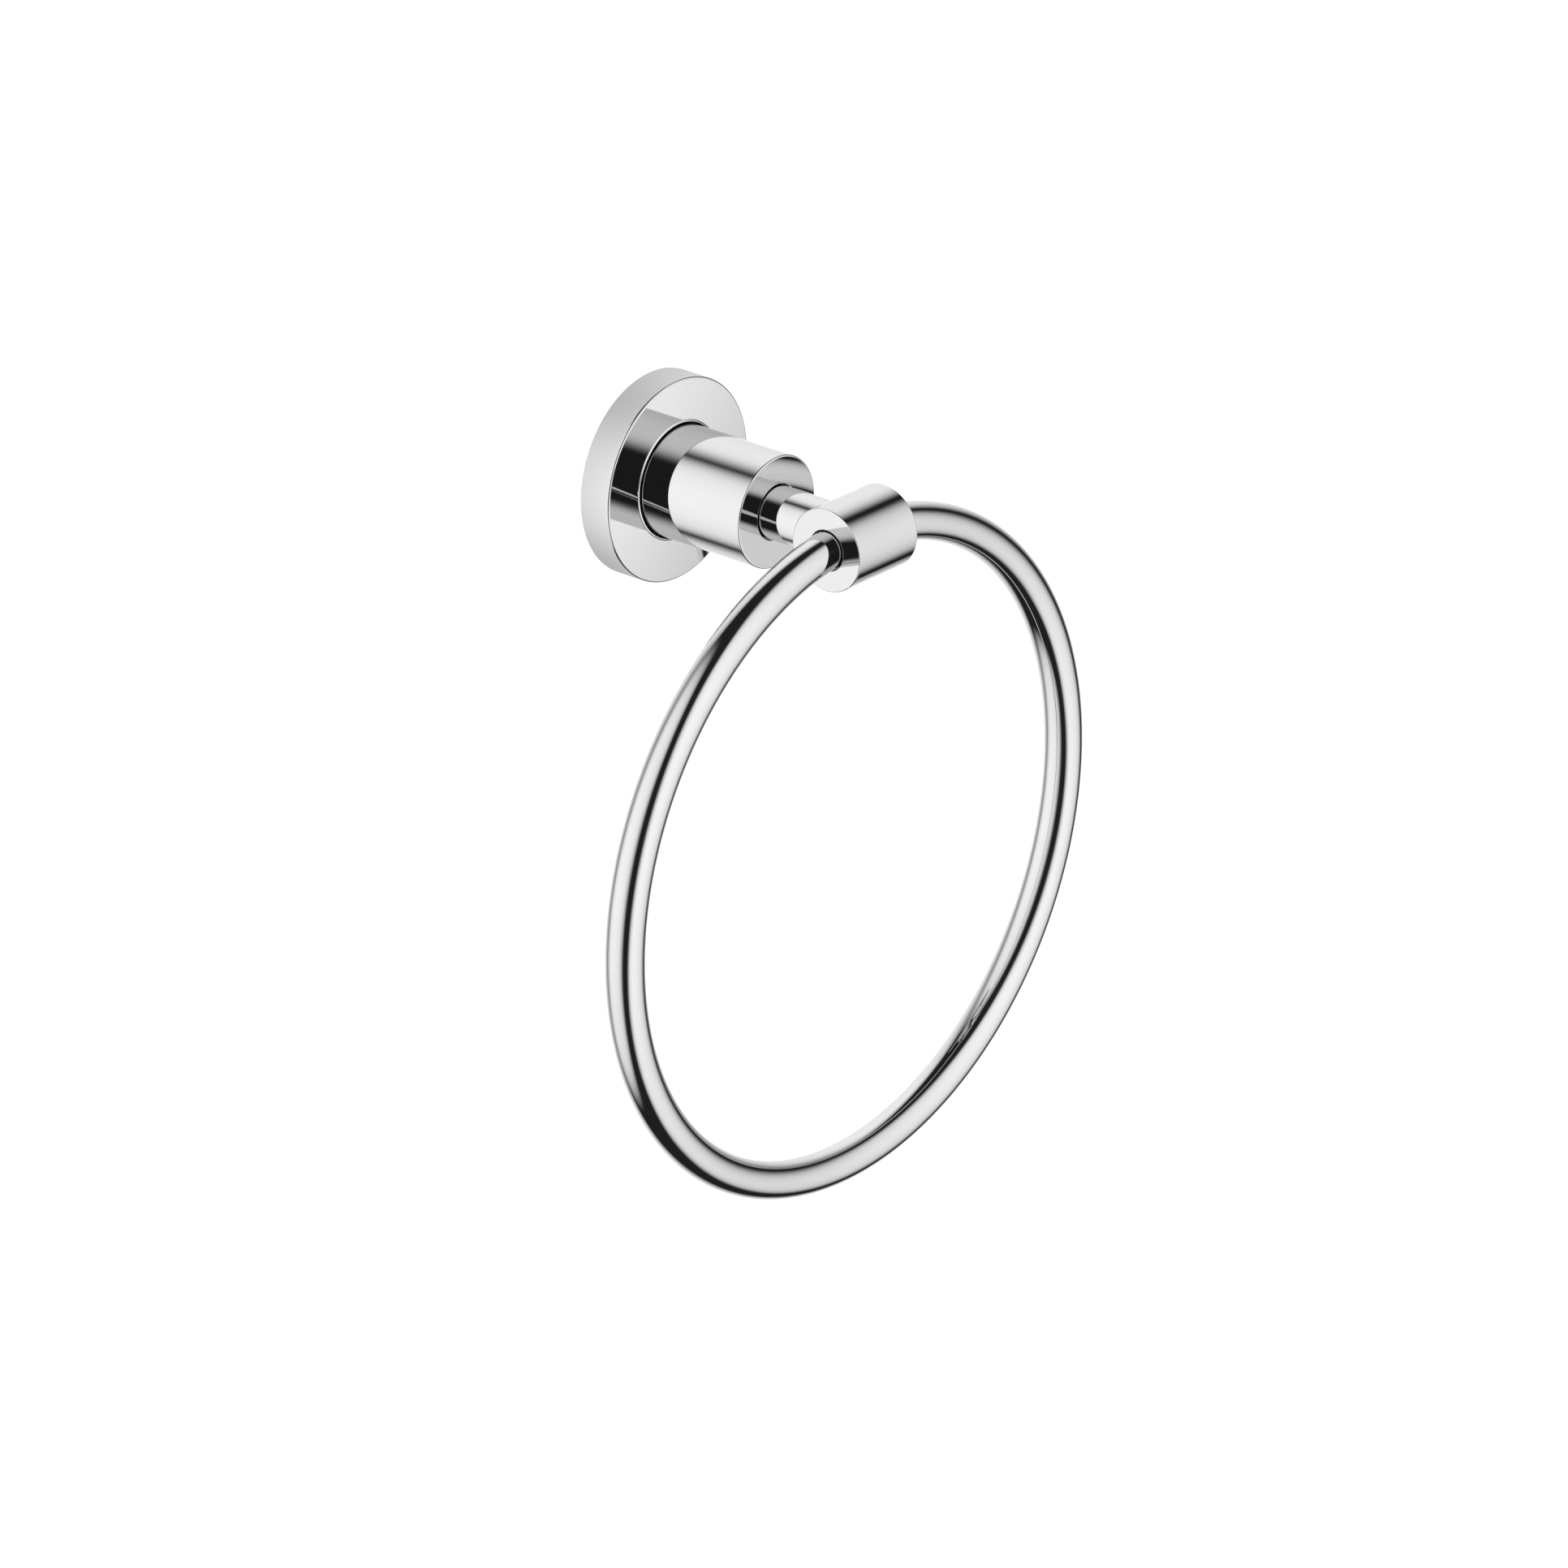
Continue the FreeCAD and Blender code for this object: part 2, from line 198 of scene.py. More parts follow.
# Steps of the fine meshes: along a rounded edge, round a turned piece, along the ring, round its
# tube, and in the patch round a side hole along the axis and from the hole to the patch's border
ROUND_STEPS = 10
TURN_STEPS = 384
RING_STEPS = 720
TUBE_STEPS = 64
PATCH_ROWS = 32
PATCH_STEPS = 8

# The patch round a side hole: half its width and height against the hole's radius, and what is
# added to each, in steps and in millimetres
PATCH_WIDTH = 1.25
PATCH_WIDTH_EXTRA = 2
PATCH_HEIGHT = 1.3
PATCH_HEIGHT_EXTRA = 0.5

# Corners are welded that agree to so many digits of a millimetre; radii closer than SAME are one
WELD_DIGITS = 4
SAME = 1e-6

DEGREES_PER_RADIAN = 180.0 / math.pi

# A mix node has a set of sockets for each kind: the first, the second and the result
MIX_SOCKETS = {"RGBA": (6, 7, 2), "FLOAT": (2, 3, 0)}


def quads(grid):
    """The four corners of every cell of a grid."""
    corners = [grid[:-1, :-1], grid[1:, :-1], grid[1:, 1:], grid[:-1, 1:]]
    return np.stack(corners, axis=2).reshape(-1, 4, 3)


class Skin:
    """A closed surface gathered from patches of quads, each corner with its exact normal."""

    def __init__(self):
        self.corners = []
        self.normals = []

    def add(self, points, normals):
        """A grid patch: arrays of rows by columns by 3, in millimetres."""
        here = quads(points)
        lean = quads(normals)
        faced = np.cross(here[:, 2] - here[:, 0], here[:, 3] - here[:, 1])
        turned_over = np.einsum("ij,ij->i", faced, lean.sum(axis=1)) < 0
        here[turned_over] = here[turned_over][:, ::-1]
        lean[turned_over] = lean[turned_over][:, ::-1]
        self.corners.append(here)
        self.normals.append(lean)

    def build(self, name):
        """The mesh object, welded, with its normals set corner by corner."""
        corners = np.concatenate(self.corners)
        normals = np.concatenate(self.normals)
        keys = np.round(corners.reshape(-1, 3), WELD_DIGITS)
        _, first, index = np.unique(keys, axis=0, return_index=True, return_inverse=True)
        vertices = corners.reshape(-1, 3)[first] * MM
        faces = []
        loop_normals = []
        for face, lean in zip(index.reshape(-1, 4), normals):
            kept = [i for i in range(4) if face[i] != face[i - 1]]
            if len(kept) < 3:
                continue
            faces.append([int(face[i]) for i in kept])
            loop_normals.extend(lean[i] for i in kept)
        mesh = bpy.data.meshes.new(name)
        mesh.from_pydata(vertices.tolist(), [], faces)
        mesh.polygons.foreach_set("use_smooth", [True] * len(mesh.polygons))
        mesh.update()
        mesh.normals_split_custom_set([Vector(lean) for lean in loop_normals])
        made = bpy.data.objects.new(name, mesh)
        bpy.context.scene.collection.objects.link(made)
        return made


def rounded_corner(before, place, after, radius):
    """The points of the arc that rounds a corner of a section, or the sharp corner alone."""
    if not radius:
        return np.array([place])
    before = (before - place) / np.linalg.norm(before - place)
    after = (after - place) / np.linalg.norm(after - place)
    half = math.acos(np.clip(before @ after, -1, 1)) / 2
    reach = radius / math.tan(half)
    halfway = (before + after) / np.linalg.norm(before + after)
    middle = place + halfway * radius / math.sin(half)
    start = place + before * reach - middle
    end = place + after * reach - middle
    sweep = math.acos(np.clip(start @ end / radius**2, -1, 1))
    steps = np.linspace(0, 1, ROUND_STEPS + 1)[:, None]
    arc = np.sin((1 - steps) * sweep) * start + np.sin(steps * sweep) * end
    return middle + arc / math.sin(sweep)


def sideways(tangent):
    """The outward normal of a section's run, on the left of the way it goes."""
    normal = np.stack([-tangent[:, 1], tangent[:, 0]], axis=1)
    return normal / np.linalg.norm(normal, axis=1, keepdims=True)


def outline(corners):
    """Runs of (points, normals) round a closed section of (radius, station, round) corners.

    The corners go round with the material on their right, with radius as the first axis.
    """
    places = [np.array(corner[:2], float) for corner in corners]
    rounds = [corner[2] if len(corner) > 2 else 0.0 for corner in corners]
    count = len(places)
    arcs = [
        rounded_corner(places[i - 1], places[i], places[(i + 1) % count], rounds[i])
        for i in range(count)
    ]
    runs = []
    for i, arc in enumerate(arcs):
        if len(arc) > 1:
            chord = arc[1:] - arc[:-1]
            first = places[i][None] - arc[:1]
            last = arc[-1:] - places[i][None]
            runs.append((arc, sideways(np.concatenate([first, chord[1:] + chord[:-1], last]))))
        straight = np.array([arc[-1], arcs[(i + 1) % count][0]])
        runs.append((straight, sideways(np.repeat(straight[1:] - straight[:1], 2, axis=0))))
    return runs


class Axis:
    """A line to turn sections about: its origin, its direction and where its angles start."""

    def __init__(self, origin, along, start):
        self.origin = np.array(origin, float)
        self.along = np.array(along, float)
        self.start = np.array(start, float)
        self.side = np.cross(self.along, self.start)

    def radial(self, angle):
        """Unit vectors away from the axis, for an array of angles in radians."""
        return np.cos(angle)[..., None] * self.start + np.sin(angle)[..., None] * self.side

    def turn(self, skin, run, angles):
        """Sweep a run of a section over the angles."""
        points, normals = run
        out = self.radial(angles)[:, None]
        grid = self.origin + out * points[None, :, :1] + self.along * points[None, :, 1:]
        lean = out * normals[None, :, :1] + self.along * normals[None, :, 1:]
        skin.add(grid, lean)


POST = Axis((0, 0, 0), (0, -1, 0), (0, 0, -1))
KNUCKLE = Axis((0, -KNUCKLE_REACH, 0), (1, 0, 0), (0, 1, 0))
FULL_TURN = np.linspace(-math.pi, math.pi, TURN_STEPS + 1)


def outer_barrel(runs, station):
    """Which run is the outermost one that goes straight along the axis past a station."""
    barrels = []
    for index, (points, _) in enumerate(runs):
        radius = points[0][0]
        low, high = sorted((points[0][1], points[-1][1]))
        if np.ptp(points[:, 0]) < SAME and low < station < high:
            barrels.append((radius, index))
    return max(barrels)[1]


def lathe(name, axis, corners, hole=None):
    """A turned piece. Its outer barrel may carry a round hole that opens sideways."""
    skin = Skin()
    runs = outline(corners)
    holed = outer_barrel(runs, hole[0]) if hole else None
    for index, run in enumerate(runs):
        if index == holed:
            holed_barrel(skin, axis, run, hole)
        else:
            axis.turn(skin, run, FULL_TURN)
    return skin.build(name)


def holed_barrel(skin, axis, run, hole):
    """A straight barrel with a round hole at angle 0.

    The hole is its station, its radius and the distance of its floor from the axis.
    """
    station, hole_radius, floor = hole
    points = run[0]
    radius = points[0][0]
    low, high = sorted((points[0][1], points[1][1]))
    step = 2 * math.pi / TURN_STEPS
    reach = math.asin(hole_radius / radius)
    window_steps = math.ceil(PATCH_WIDTH * reach / step + PATCH_WIDTH_EXTRA)
    window = window_steps * step
    half = PATCH_HEIGHT * hole_radius + PATCH_HEIGHT_EXTRA
    rows = np.linspace(station - half, station + half, PATCH_ROWS + 1)
    around = np.linspace(window, 2 * math.pi - window, TURN_STEPS - 2 * window_steps + 1)
    inside = np.linspace(-window, window, 2 * window_steps + 1)
    for stations, angles in (
        (np.array([low, rows[0]]), FULL_TURN),
        (np.array([rows[-1], high]), FULL_TURN),
        (rows, around),
    ):
        flat = np.stack([np.full(len(stations), radius), stations], axis=1)
        outward = np.repeat([[1.0, 0.0]], len(stations), axis=0)
        axis.turn(skin, (flat, outward), angles)
    border = np.concatenate(
        [
            np.stack([inside, np.full(len(inside), rows[0])], axis=1)[:-1],
            np.stack([np.full(len(rows), window), rows], axis=1)[:-1],
            np.stack([inside[::-1], np.full(len(inside), rows[-1])], axis=1)[:-1],
            np.stack([np.full(len(rows), -window), rows[::-1]], axis=1),
        ]
    )
    bearing = np.arctan2((border[:, 1] - station) / half, border[:, 0] / window)
    across = hole_radius * np.cos(bearing)
    edge = np.stack([np.arcsin(across / radius), station + hole_radius * np.sin(bearing)], axis=1)
    share = np.linspace(0, 1, PATCH_STEPS + 1)[:, None, None]
    spread = edge[None] * (1 - share) + border[None] * share
    out = axis.radial(spread[..., 0])
    skin.add(axis.origin + out * radius + axis.along * spread[..., 1:], out)
    rim = axis.origin + axis.radial(edge[:, 0]) * radius + axis.along * edge[:, 1:]
    inward = -(axis.side * np.cos(bearing)[:, None] + axis.along * np.sin(bearing)[:, None])
    drop = (rim - axis.origin) @ axis.start - floor
    skin.add(np.stack([rim, rim - drop[:, None] * axis.start]), np.stack([inward, inward]))


def make_rosette():
    """The cover cup with its collar and its low crowned lip."""
    return lathe(
        "rosette_skin",
        POST,
        [
            (ROSETTE_RADIUS, 0),
            (ROSETTE_CUP_RADIUS, 0),
            (ROSETTE_CUP_RADIUS, ROSETTE_CUP_FLOOR),
            (ROSETTE_COLLAR_RADIUS, ROSETTE_CUP_FLOOR),
            (ROSETTE_COLLAR_RADIUS, ROSETTE_COLLAR_BACK),
            (ROSETTE_HOLE_RADIUS, ROSETTE_COLLAR_BACK),
            (ROSETTE_HOLE_RADIUS, LIP_FRONT, LIP_INNER_ROUND),
            LIP_CROWN,
            (LIP_RADIUS, ROSETTE_DEPTH),
            (ROSETTE_RADIUS, ROSETTE_DEPTH, ROSETTE_EDGE_ROUND),
        ],
    )


def make_body():
    """The thick step, with its cavity, its front socket and the grub screw's hole underneath."""
    return lathe(
        "post_body_skin",
        POST,
        [
            (BODY_CAVITY_RADIUS, BODY_BACK),
            (BODY_CAVITY_RADIUS, BODY_CAVITY_FLOOR),
            (BODY_SCREW_HOLE_RADIUS, BODY_CAVITY_FLOOR),
            (BODY_SCREW_HOLE_RADIUS, BODY_WEB_FRONT),
            (SOCKET_RADIUS, BODY_WEB_FRONT),
            (SOCKET_RADIUS, BODY_FRONT, SOCKET_EDGE_ROUND),
            (BODY_RADIUS, BODY_FRONT, BODY_EDGE_ROUND),
            (BODY_RADIUS, BODY_GROOVE_FRONT),
            (BODY_GROOVE_RADIUS, BODY_GROOVE_FRONT),
            (BODY_GROOVE_RADIUS, BODY_GROOVE_BACK),
            (BODY_RADIUS, BODY_GROOVE_BACK),
            (BODY_RADIUS, BODY_BACK),
        ],
        hole=(GRUB_STATION, GRUB_HOLE_RADIUS, BODY_CAVITY_RADIUS),
    )


def make_neck():
    """The thin step, bored behind for its screw, with its spigot in front."""
    return lathe(
        "neck_skin",
        POST,
        [
            (0, NECK_SPIGOT_FRONT),
            (NECK_SPIGOT_RADIUS, NECK_SPIGOT_FRONT),
            (NECK_SPIGOT_RADIUS, NECK_FRONT),
            (NECK_RADIUS, NECK_FRONT),
            (NECK_RADIUS, NECK_BACK),
            (NECK_BORE_RADIUS, NECK_BACK),
            (NECK_BORE_RADIUS, NECK_BORE_FRONT),
            (0, NECK_BORE_FRONT),
        ],
    )


def make_knuckle():
    """The cross barrel with its mouths, its bore and the neck's seat behind."""
    return lathe(
        "knuckle_skin",
        KNUCKLE,
        [
            (KNUCKLE_RADIUS, KNUCKLE_FACE, KNUCKLE_EDGE_ROUND),
            (KNUCKLE_RADIUS, -KNUCKLE_FACE, KNUCKLE_EDGE_ROUND),
            (MOUTH_RADIUS, -KNUCKLE_FACE, MOUTH_EDGE_ROUND),
            (MOUTH_RADIUS, -MOUTH_FLOOR),
            (KNUCKLE_BORE_RADIUS, -MOUTH_FLOOR),
            (KNUCKLE_BORE_RADIUS, MOUTH_FLOOR),
            (MOUTH_RADIUS, MOUTH_FLOOR),
            (MOUTH_RADIUS, KNUCKLE_FACE, MOUTH_EDGE_ROUND),
        ],
        hole=(0.0, NECK_SEAT_RADIUS, KNUCKLE_REACH - NECK_FRONT),
    )


def make_ring():
    """The tube ring, open between its two ends."""
    skin = Skin()
    sweep = np.radians(np.linspace(RING_END_ANGLE, 360 - RING_END_ANGLE, RING_STEPS + 1))
    around = np.linspace(0, 2 * math.pi, TUBE_STEPS + 1)
    centre = np.array([0, -KNUCKLE_REACH, -RING_DROP])
    out = np.stack([np.sin(sweep), np.zeros_like(sweep), np.cos(sweep)], axis=1)
    side = np.array([0, 1, 0])
    lean = out[:, None] * np.cos(around)[None, :, None] + side * np.sin(around)[None, :, None]
    middle = centre + out[:, None] * RING_RADIUS
    outer = middle + lean * TUBE_RADIUS
    inner = middle + lean * TUBE_BORE_RADIUS
    skin.add(outer, lean)
    skin.add(inner, -lean)
    for end, sign in ((0, -1), (-1, 1)):
        along = np.array([math.cos(sweep[end]), 0, -math.sin(sweep[end])]) * sign
        face = np.stack([outer[end], inner[end]])
        skin.add(face, np.broadcast_to(along, face.shape).copy())
    return skin.build("ring_tube_skin")


def node(tree, kind, **settings):
    """A shader node with its settings."""
    made = tree.nodes.new(kind)
    for name, value in settings.items():
        setattr(made, name, value)
    return made


def math_node(tree, operation, first, second=None, third=None, clamp=False):
    """A math node fed by sockets or plain numbers; gives its output socket."""
    made = node(tree, "ShaderNodeMath", operation=operation, use_clamp=clamp)
    for index, value in enumerate((first, second, third)):
        if value is None:
            continue
        if isinstance(value, (int, float)):
            made.inputs[index].default_value = value
        else:
            tree.links.new(value, made.inputs[index])
    return made.outputs[0]


def stretch(tree, value, before, after):
    """A value mapped from one range to another, held at its ends."""
    spread = node(tree, "ShaderNodeMapRange")
    names = ("From Min", "From Max", "To Min", "To Max")
    for name, limit in zip(names, (*before, *after)):
        spread.inputs[name].default_value = limit
    tree.links.new(value, spread.inputs["Value"])
    return spread.outputs[0]


def mixed_shader(tree, share, first, second):
    """The first shader where the share is 0, the second where it is 1."""
    mix = node(tree, "ShaderNodeMixShader")
    for index, socket in enumerate((share, first, second)):
        tree.links.new(socket, mix.inputs[index])
    return mix.outputs[0]


def soft_panel(tree, direction, azimuth, elevation, panel):
    """The brightness of one panel in every direction."""
    turn = math_node(tree, "SUBTRACT", azimuth, panel.middle)
    turn = math_node(tree, "WRAP", turn, 180.0, -180.0)
    across = math_node(
        tree,
        "MAXIMUM",
        math_node(tree, "DIVIDE", turn, -panel.left),
        math_node(tree, "DIVIDE", turn, panel.right),
    )
    above = math_node(tree, "SUBTRACT", elevation, panel.up - panel.soft_up)
    above = math_node(tree, "DIVIDE", above, panel.soft_up)
    below = math_node(tree, "ADD", elevation, panel.down - panel.soft_down)
    below = math_node(tree, "DIVIDE", below, -panel.soft_down)
    height = math_node(tree, "MAXIMUM", math_node(tree, "MAXIMUM", above, below), 0.0)
    edge = math_node(
        tree,
        "ADD",
        math_node(tree, "POWER", across, panel.corner),
        math_node(tree, "POWER", height, panel.corner),
    )
    edge = math_node(tree, "POWER", edge, panel.flatness / panel.corner)
    glow = math_node(tree, "SUBTRACT", 1.0, edge, clamp=True)
    glow = math_node(tree, "POWER", glow, panel.fade)
    brightest = math.radians(panel.brightest)
    nearness = node(tree, "ShaderNodeVectorMath", operation="DOT_PRODUCT")
    nearness.inputs[1].default_value = (math.sin(brightest), -math.cos(brightest), 0.0)
    tree.links.new(direction, nearness.inputs[0])
    nearness = nearness.outputs["Value"]
    lost = panel.peak * panel.loss
    shade = math_node(tree, "MULTIPLY_ADD", nearness, lost, panel.peak * (1.0 - panel.loss))
    return math_node(tree, "MULTIPLY", glow, shade)


def unevenness(tree, along, azimuth, elevation):
    """A factor for the light: a slight slope where the flat front faces look, and 1 elsewhere."""
    aside = math_node(tree, "SUBTRACT", azimuth, UNEVEN_AT[0])
    above = math_node(tree, "SUBTRACT", elevation, UNEVEN_AT[1])
    slope = math_node(tree, "MULTIPLY", aside, UNEVEN_SLOPE[0])
    slope = math_node(tree, "ADD", slope, math_node(tree, "MULTIPLY", above, UNEVEN_SLOPE[1]))
    slope = math_node(tree, "MAXIMUM", slope, UNEVEN_LIMITS[0])
    slope = math_node(tree, "MINIMUM", slope, UNEVEN_LIMITS[1])
    for value, (middle, whole, end) in ((along, UNEVEN_ALONG_X), (elevation, UNEVEN_IN_HEIGHT)):
        apart = math_node(tree, "ABSOLUTE", math_node(tree, "SUBTRACT", value, middle))
        near = stretch(tree, apart, (whole, end), (1.0, 0.0))
        slope = math_node(tree, "MULTIPLY", slope, near)
    return math_node(tree, "ADD", slope, 1.0)


def build_world():
    """White for the camera; for everything else a dark studio with soft white panels."""
    world = bpy.data.worlds.new("studio")
    bpy.context.scene.world = world
    world.use_nodes = True
    tree = world.node_tree
    tree.nodes.clear()
    direction = node(tree, "ShaderNodeTexCoord").outputs["Generated"]
    split = node(tree, "ShaderNodeSeparateXYZ")
    tree.links.new(direction, split.inputs[0])
    away = math_node(tree, "MULTIPLY", split.outputs["Y"], -1.0)
    azimuth = math_node(tree, "ARCTAN2", split.outputs["X"], away)
    azimuth = math_node(tree, "MULTIPLY", azimuth, DEGREES_PER_RADIAN)
    elevation = math_node(tree, "ARCSINE", split.outputs["Z"])
    elevation = math_node(tree, "MULTIPLY", elevation, DEGREES_PER_RADIAN)
    light = STUDIO_DARK
    for panel in PANELS:
        glow = soft_panel(tree, direction, azimuth, elevation, panel)
        light = math_node(tree, "ADD", glow, light)
    uneven = unevenness(tree, split.outputs["X"], azimuth, elevation)
    light = math_node(tree, "MULTIPLY", light, uneven)
    studio = node(tree, "ShaderNodeBackground")
    white = node(tree, "ShaderNodeBackground")
    for background in (studio, white):
        background.inputs["Color"].default_value = (1.0, 1.0, 1.0, 1.0)
    tree.links.new(light, studio.inputs["Strength"])
    seen = node(tree, "ShaderNodeLightPath").outputs["Is Camera Ray"]
    both = mixed_shader(tree, seen, studio.outputs[0], white.outputs[0])
    tree.links.new(both, node(tree, "ShaderNodeOutputWorld").inputs[0])


def build_floor():
    """A plain pale floor, as far below the post as such a piece is hung. From below it is clear."""
    directions = ((-1, -1), (1, -1), (1, 1), (-1, 1))
    corners = [(x * FLOOR_REACH, y * FLOOR_REACH, FLOOR_HEIGHT) for x, y in directions]
    mesh = bpy.data.meshes.new("floor")
    mesh.from_pydata(corners, [], [(0, 1, 2, 3)])
    floor = bpy.data.objects.new("floor", mesh)
    bpy.context.scene.collection.objects.link(floor)
    material = bpy.data.materials.new("floor")
    material.use_nodes = True
    tree = material.node_tree
    tree.nodes.clear()
    paint = node(tree, "ShaderNodeBsdfDiffuse")
    paint.inputs["Color"].default_value = (FLOOR_TONE, FLOOR_TONE, FLOOR_TONE, 1.0)
    seen = node(tree, "ShaderNodeLightPath").outputs["Is Camera Ray"]
    lift = node(tree, "ShaderNodeEmission")
    tree.links.new(math_node(tree, "MULTIPLY", seen, FLOOR_LIFT), lift.inputs["Strength"])
    both = node(tree, "ShaderNodeAddShader")
    tree.links.new(paint.outputs[0], both.inputs[0])
    tree.links.new(lift.outputs[0], both.inputs[1])
    clear = node(tree, "ShaderNodeBsdfTransparent")
    below = node(tree, "ShaderNodeNewGeometry").outputs["Backfacing"]
    surface = mixed_shader(tree, below, both.outputs[0], clear.outputs[0])
    tree.links.new(surface, node(tree, "ShaderNodeOutputMaterial").inputs[0])
    mesh.materials.append(material)
    floor.visible_glossy = False


def build_camera():
    """The camera at the photograph's place, with its long lens."""
    azimuth = math.radians(CAMERA_AZIMUTH)
    elevation = math.radians(CAMERA_ELEVATION)
    roll = math.radians(CAMERA_ROLL)
    back = Vector(
        (
            math.sin(azimuth) * math.cos(elevation),
            -math.cos(azimuth) * math.cos(elevation),
            math.sin(elevation),
        )
    )
    level = Vector((math.cos(azimuth), math.sin(azimuth), 0.0))
    upright = back.cross(level)
    right = math.cos(roll) * level + math.sin(roll) * upright
    up = -math.sin(roll) * level + math.cos(roll) * upright
    place = CAMERA_TARGET + back * CAMERA_DISTANCE
    data = bpy.data.cameras.new("camera")
    data.lens = CAMERA_LENS
    data.sensor_width = SENSOR_WIDTH
    data.clip_end = CAMERA_REACH
    camera = bpy.data.objects.new("camera", data)
    turn = Matrix((right, up, back)).transposed()
    camera.matrix_world = Matrix.Translation(place) @ turn.to_4x4()
    bpy.context.scene.collection.objects.link(camera)
    bpy.context.scene.camera = camera


def wander(tree, place, noise, low, high):
    """A number that wanders between two limits over the surface, by a noise's scale and detail."""
    scale, detail = noise
    made = node(tree, "ShaderNodeTexNoise")
    made.inputs["Scale"].default_value = scale
    made.inputs["Detail"].default_value = detail
    tree.links.new(place, made.inputs["Vector"])
    return stretch(tree, made.outputs[0], NOISE_MIDDLE, (low, high))


def blend(tree, kind, share, first, second):
    """Between two colours (kind RGBA) or numbers (kind FLOAT), by a share from 0 to 1.

    The two are sockets or, for colours, plain ones.
    """
    mix = node(tree, "ShaderNodeMix", data_type=kind)
    *places, result = MIX_SOCKETS[kind]
    tree.links.new(share, mix.inputs[0])
    for index, value in zip(places, (first, second)):
        if isinstance(value, tuple):
            mix.inputs[index].default_value = (*value, 1.0)
        else:
            tree.links.new(value, mix.inputs[index])
    return mix.outputs[result]


def split_axes(tree, place):
    """The three coordinates of a place."""
    split = node(tree, "ShaderNodeSeparateXYZ")
    tree.links.new(place, split.inputs[0])
    return split.outputs


def distance_from(tree, place, axis):
    """The distance of a place from an axis of the piece."""
    flat = [1.0, 1.0, 1.0]
    flat[axis] = 0.0
    flattened = node(tree, "ShaderNodeVectorMath", operation="MULTIPLY")
    flattened.inputs[1].default_value = flat
    tree.links.new(place, flattened.inputs[0])
    length = node(tree, "ShaderNodeVectorMath", operation="LENGTH")
    tree.links.new(flattened.outputs[0], length.inputs[0])
    return length.outputs["Value"]


def start_material(name, metallic):
    """A new material: its tree, its shader and the surface's own coordinates."""
    material = bpy.data.materials.new(name)
    material.use_nodes = True
    tree = material.node_tree
    shader = tree.nodes["Principled BSDF"]
    shader.inputs["Metallic"].default_value = metallic
    place = node(tree, "ShaderNodeTexCoord").outputs["Object"]
    return material, tree, shader, place


def add_bump(tree, shader, height, strength, distance):
    """Bumps from a height on the surface."""
    bump = node(tree, "ShaderNodeBump")
    bump.inputs["Strength"].default_value = strength
    bump.inputs["Distance"].default_value = distance
    tree.links.new(height, bump.inputs["Height"])
    tree.links.new(bump.outputs[0], shader.inputs["Normal"])


def start_chrome(name):
    """A chrome material, with the faintest wandering of its tone and of its polish."""
    material, tree, shader, place = start_material(name, 1.0)
    shader.inputs["Specular Tint"].default_value = CHROME_GRAZING
    tone = wander(tree, place, TONE_NOISE, 0.0, 1.0)
    colour = blend(tree, "RGBA", tone, CHROME_DARK, CHROME_LIGHT)
    polish = wander(tree, place, POLISH_NOISE, *POLISH)
    return material, tree, shader, place, colour, polish


def polished_chrome():
    """Mirror chrome."""
    material, tree, shader, _, colour, polish = start_chrome("polished_chrome")
    tree.links.new(colour, shader.inputs["Base Color"])
    tree.links.new(polish, shader.inputs["Roughness"])
    return material


def rosette_chrome():
    """Mirror chrome in front and in the hole, and a fine satin with painted shade on the side and
    in the cup.
    """
    material, tree, shader, place, colour, polish = start_chrome("rosette_chrome")
    station = math_node(tree, "MULTIPLY", split_axes(tree, place)["Y"], -1.0)
    front = stretch(tree, station, POLISH_STARTS, (0.0, 1.0))
    hole = stretch(tree, distance_from(tree, place, 1), POLISH_ENDS, (1.0, 0.0))
    polished = math_node(tree, "MAXIMUM", front, hole)
    grain = wander(tree, place, GRAIN_NOISE, -GRAIN_TONE, GRAIN_TONE)
    # Painted shade: the satin's tone is darker towards the wall and lighter towards the front
    tone = stretch(tree, station, SATIN_PAINTED_SHADE_REACH, (GRAIN_TONE, 1.0 - GRAIN_TONE))
    tone = math_node(tree, "ADD", grain, tone)
    # The satin's colour carries its random grain and the painted shade from the wall
    satin_colour_painted_shade = blend(tree, "RGBA", tone, SATIN_BACK_PAINTED_SHADE, SATIN_FRONT)
    satin = wander(tree, place, GRAIN_NOISE, *SATIN)
    colour = blend(tree, "RGBA", polished, satin_colour_painted_shade, colour)
    tree.links.new(colour, shader.inputs["Base Color"])
    tree.links.new(blend(tree, "FLOAT", polished, satin, polish), shader.inputs["Roughness"])
    return material


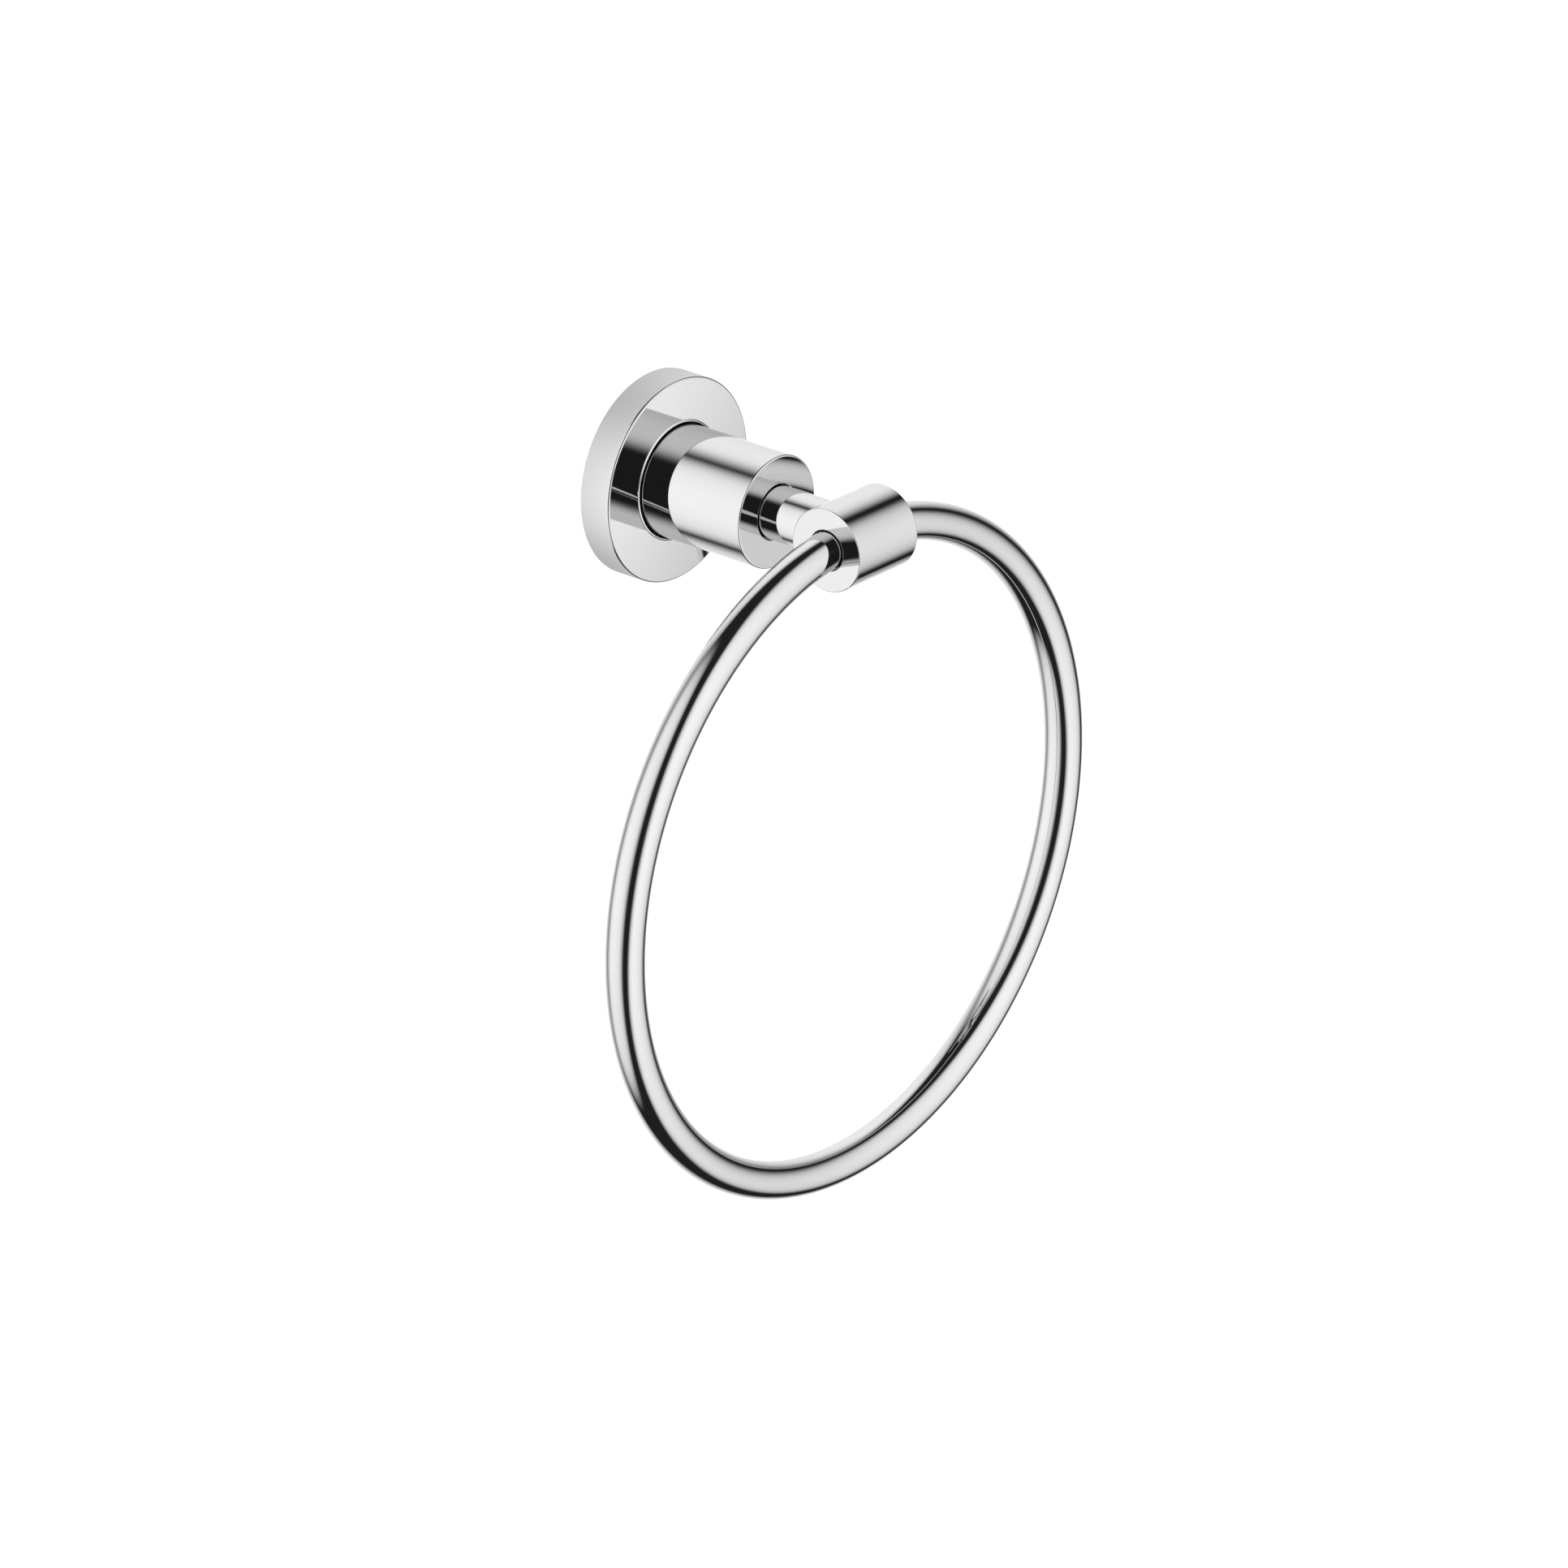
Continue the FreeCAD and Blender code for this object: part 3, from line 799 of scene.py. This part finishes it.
def turned_metal(name, dark, light, rough, axis):
    """Machined metal, with fine tool marks round an axis of the piece."""
    material, tree, shader, place = start_material(name, 1.0)
    marks = node(tree, "ShaderNodeCombineXYZ")
    tree.links.new(distance_from(tree, place, axis), marks.inputs[0])
    tree.links.new(split_axes(tree, place)[axis], marks.inputs[1])
    marks = marks.outputs[0]
    share = wander(tree, marks, MARK_NOISE, 0.0, 1.0)
    tree.links.new(blend(tree, "RGBA", share, dark, light), shader.inputs["Base Color"])
    roughness = wander(tree, marks, MARK_POLISH_NOISE, *rough)
    tree.links.new(roughness, shader.inputs["Roughness"])
    add_bump(tree, shader, share, *MARK_BUMP)
    return material


def moulded(name, dark, light, rough, scale, depth):
    """Plastic or rubber, faintly mottled, with a fine skin."""
    material, tree, shader, place = start_material(name, 0.0)
    share = wander(tree, place, (scale, MOTTLE_DETAIL), 0.0, 1.0)
    tree.links.new(blend(tree, "RGBA", share, dark, light), shader.inputs["Base Color"])
    roughness = wander(tree, place, (SHEEN_SCALE * scale, SHEEN_DETAIL), *rough)
    tree.links.new(roughness, shader.inputs["Roughness"])
    add_bump(tree, shader, share, MOTTLE_BUMP, depth)
    return material


bpy.context.scene.view_settings.view_transform = "Standard"
bpy.context.scene.cycles.glossy_bounces = GLOSSY_BOUNCES
build_world()
build_floor()
build_camera()

# Every CAD node gets the finish of its slot
FINISHES = {"polished_chrome": polished_chrome()}
for slot_name, values in TURNED_METALS.items():
    FINISHES[slot_name] = turned_metal(slot_name, *values)
for slot_name, values in MOULDINGS.items():
    FINISHES[slot_name] = moulded(slot_name, *values)
SLOTS = {subpart["node"]: subpart["material_slot"] for subpart in frame["record"]["subparts"]}
for cad_name, cad_node in NODES.items():
    cad_node.data.materials.clear()
    cad_node.data.materials.append(FINISHES[SLOTS[cad_name]])

# The five outer pieces are shown by fine meshes of the same form: what makes each, the body that it
# rides on, and its finish
SKINS = {
    "rosette": (make_rosette, "post", rosette_chrome()),
    "post_body": (make_body, "post", FINISHES["polished_chrome"]),
    "neck": (make_neck, "post", FINISHES["polished_chrome"]),
    "knuckle": (make_knuckle, "post", FINISHES["polished_chrome"]),
    "ring_tube": (make_ring, "ring", FINISHES["polished_chrome"]),
}
for replaced, (make, body, finish) in SKINS.items():
    skin_piece = make()
    skin_piece.data.materials.append(finish)
    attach(skin_piece, body)
    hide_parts(replaced)
